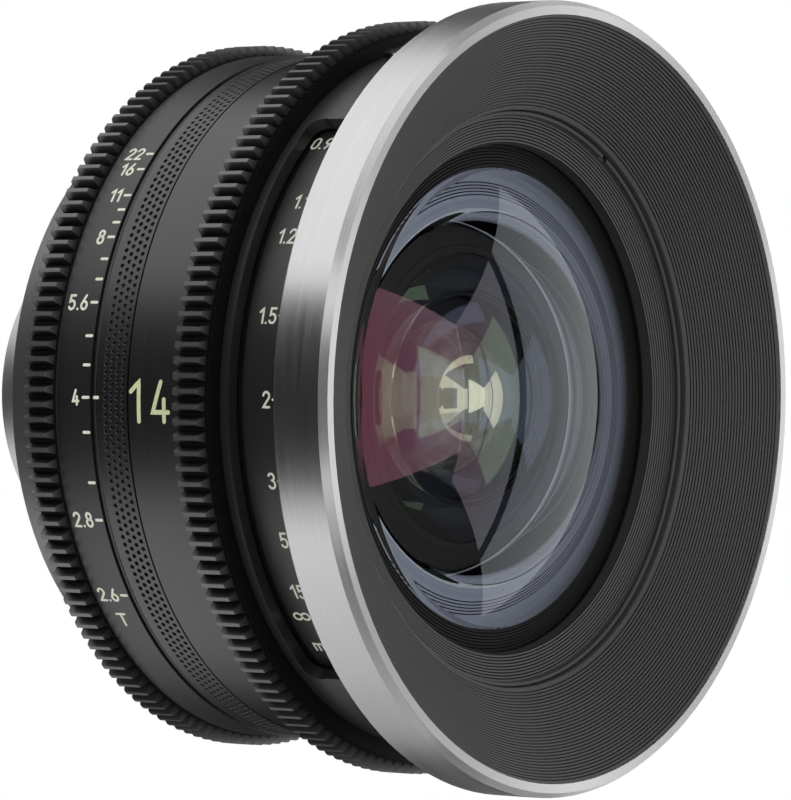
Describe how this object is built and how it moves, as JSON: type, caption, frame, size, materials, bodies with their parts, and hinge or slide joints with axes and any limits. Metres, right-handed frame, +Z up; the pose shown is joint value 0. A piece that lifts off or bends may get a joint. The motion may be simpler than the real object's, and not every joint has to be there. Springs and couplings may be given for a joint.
{
  "type": "cinema prime lens",
  "caption": "Cinema prime lens: geared iris and focus rings on a dark barrel, a distance window, a bright front ring with a ribbed hood and domed glass, and a tabbed bayonet mount at the rear.",
  "frame": {"origin": "centre of the mount barrel on the flange plane", "axes": "the lens axis lies along Y with the front facing -Y; +Z is up; the scales and the index face -X"},
  "size_m": [0.134, 0.1037, 0.134],
  "materials": {
    "black_anodised": "black anodised, matte",
    "grey_anodised": "dark grey anodised, fine satin",
    "satin_silver": "clear anodised, turned satin",
    "steel": "ground stainless steel",
    "chrome": "polished",
    "brass": "turned",
    "white_plastic": "low-friction plastic",
    "glass": "polished, anti-reflection coated"
  },
  "bodies": {
    "barrel": {"mount_plate": "steel", "mount_shim": "brass", "mount_screws": "chrome", "rear_baffle": "black_anodised", "rear_barrel": "grey_anodised", "main_tube": "grey_anodised", "iris_thrust_washer": "white_plastic", "index_ring": "grey_anodised", "mid_barrel": "grey_anodised", "focus_thrust_washer": "white_plastic", "helicoid_housing": "grey_anodised", "focus_guide_rods": "steel", "window_sleeve": "grey_anodised", "sleeve_screw": "chrome", "front_ring": "satin_silver", "hood": "black_anodised", "hood_snap_ring": "black_anodised", "front_retainer": "black_anodised", "glass_ring": "black_anodised", "front_element": "glass", "glass_seat": "grey_anodised", "front_cell": "black_anodised", "second_cell": "black_anodised", "second_element": "glass", "second_retainer": "black_anodised", "core_tube": "grey_anodised", "iris_base": "grey_anodised", "iris_cover": "grey_anodised", "rear_cell": "black_anodised", "rear_element_1": "glass", "rear_element_2": "glass", "rear_element_3": "glass", "rear_element_4": "glass", "rear_spacers": "black_anodised", "rear_retainer": "black_anodised"},
    "iris_ring": {"iris_gear_ring": "black_anodised", "iris_drive_pin": "steel", "iris_cam_ring": "black_anodised"},
    "focus_ring": {"focus_gear_ring": "black_anodised", "focus_scale_drum": "black_anodised", "drum_screws": "chrome", "focus_drive_pin": "steel", "focus_helicoid": "brass"},
    "focus_group": {"focus_cell": "black_anodised", "focus_element_rear": "glass", "focus_element_front": "glass", "focus_spacer": "black_anodised", "focus_retainer": "black_anodised"},
    "blade_1": {"iris_blade_1": "black_anodised"},
    "blade_2": {"iris_blade_2": "black_anodised"},
    "blade_3": {"iris_blade_3": "black_anodised"},
    "blade_4": {"iris_blade_4": "black_anodised"},
    "blade_5": {"iris_blade_5": "black_anodised"},
    "blade_6": {"iris_blade_6": "black_anodised"},
    "blade_7": {"iris_blade_7": "black_anodised"},
    "blade_8": {"iris_blade_8": "black_anodised"},
    "blade_9": {"iris_blade_9": "black_anodised"}
  },
  "joints": [
    {"name": "iris_turn", "type": "hinge", "parent": "barrel", "child": "iris_ring", "pos_m": [0, -0.03, 0], "axis": [0, -1, 0], "range_deg": [-33.9, 43.4]},
    {"name": "blade_1_pivot", "type": "hinge", "parent": "barrel", "child": "blade_1", "pos_m": [0.0158, -0.0285, 0], "axis": [0, -1, 0], "range_deg": [-15, 19.21]},
    {"name": "blade_2_pivot", "type": "hinge", "parent": "barrel", "child": "blade_2", "pos_m": [0.0121, -0.0285, 0.01016], "axis": [0, -1, 0], "range_deg": [-15, 19.21]},
    {"name": "blade_3_pivot", "type": "hinge", "parent": "barrel", "child": "blade_3", "pos_m": [0.00274, -0.0285, 0.01556], "axis": [0, -1, 0], "range_deg": [-15, 19.21]},
    {"name": "blade_4_pivot", "type": "hinge", "parent": "barrel", "child": "blade_4", "pos_m": [-0.0079, -0.0285, 0.01368], "axis": [0, -1, 0], "range_deg": [-15, 19.21]},
    {"name": "blade_5_pivot", "type": "hinge", "parent": "barrel", "child": "blade_5", "pos_m": [-0.01485, -0.0285, 0.0054], "axis": [0, -1, 0], "range_deg": [-15, 19.21]},
    {"name": "blade_6_pivot", "type": "hinge", "parent": "barrel", "child": "blade_6", "pos_m": [-0.01485, -0.0285, -0.0054], "axis": [0, -1, 0], "range_deg": [-15, 19.21]},
    {"name": "blade_7_pivot", "type": "hinge", "parent": "barrel", "child": "blade_7", "pos_m": [-0.0079, -0.0285, -0.01368], "axis": [0, -1, 0], "range_deg": [-15, 19.21]},
    {"name": "blade_8_pivot", "type": "hinge", "parent": "barrel", "child": "blade_8", "pos_m": [0.00274, -0.0285, -0.01556], "axis": [0, -1, 0], "range_deg": [-15, 19.21]},
    {"name": "blade_9_pivot", "type": "hinge", "parent": "barrel", "child": "blade_9", "pos_m": [0.0121, -0.0285, -0.01016], "axis": [0, -1, 0], "range_deg": [-15, 19.21]},
    {"name": "focus_turn", "type": "hinge", "parent": "barrel", "child": "focus_ring", "pos_m": [0, -0.0615, 0], "axis": [0, -1, 0], "range_deg": [-38.7, 161.3]},
    {"name": "focus_travel", "type": "slide", "parent": "barrel", "child": "focus_group", "axis": [0, -1, 0], "range_m": [-0.00077, 0.00323]}
  ],
  "couplings": [
    {"joint": "blade_1_pivot", "follows": "iris_turn", "ratio": 0.4424},
    {"joint": "blade_2_pivot", "follows": "iris_turn", "ratio": 0.4424},
    {"joint": "blade_3_pivot", "follows": "iris_turn", "ratio": 0.4424},
    {"joint": "blade_4_pivot", "follows": "iris_turn", "ratio": 0.4424},
    {"joint": "blade_5_pivot", "follows": "iris_turn", "ratio": 0.4424},
    {"joint": "blade_6_pivot", "follows": "iris_turn", "ratio": 0.4424},
    {"joint": "blade_7_pivot", "follows": "iris_turn", "ratio": 0.4424},
    {"joint": "blade_8_pivot", "follows": "iris_turn", "ratio": 0.4424},
    {"joint": "blade_9_pivot", "follows": "iris_turn", "ratio": 0.4424},
    {"joint": "focus_travel", "follows": "focus_turn", "m_per_rad": 0.0011459}
  ]
}
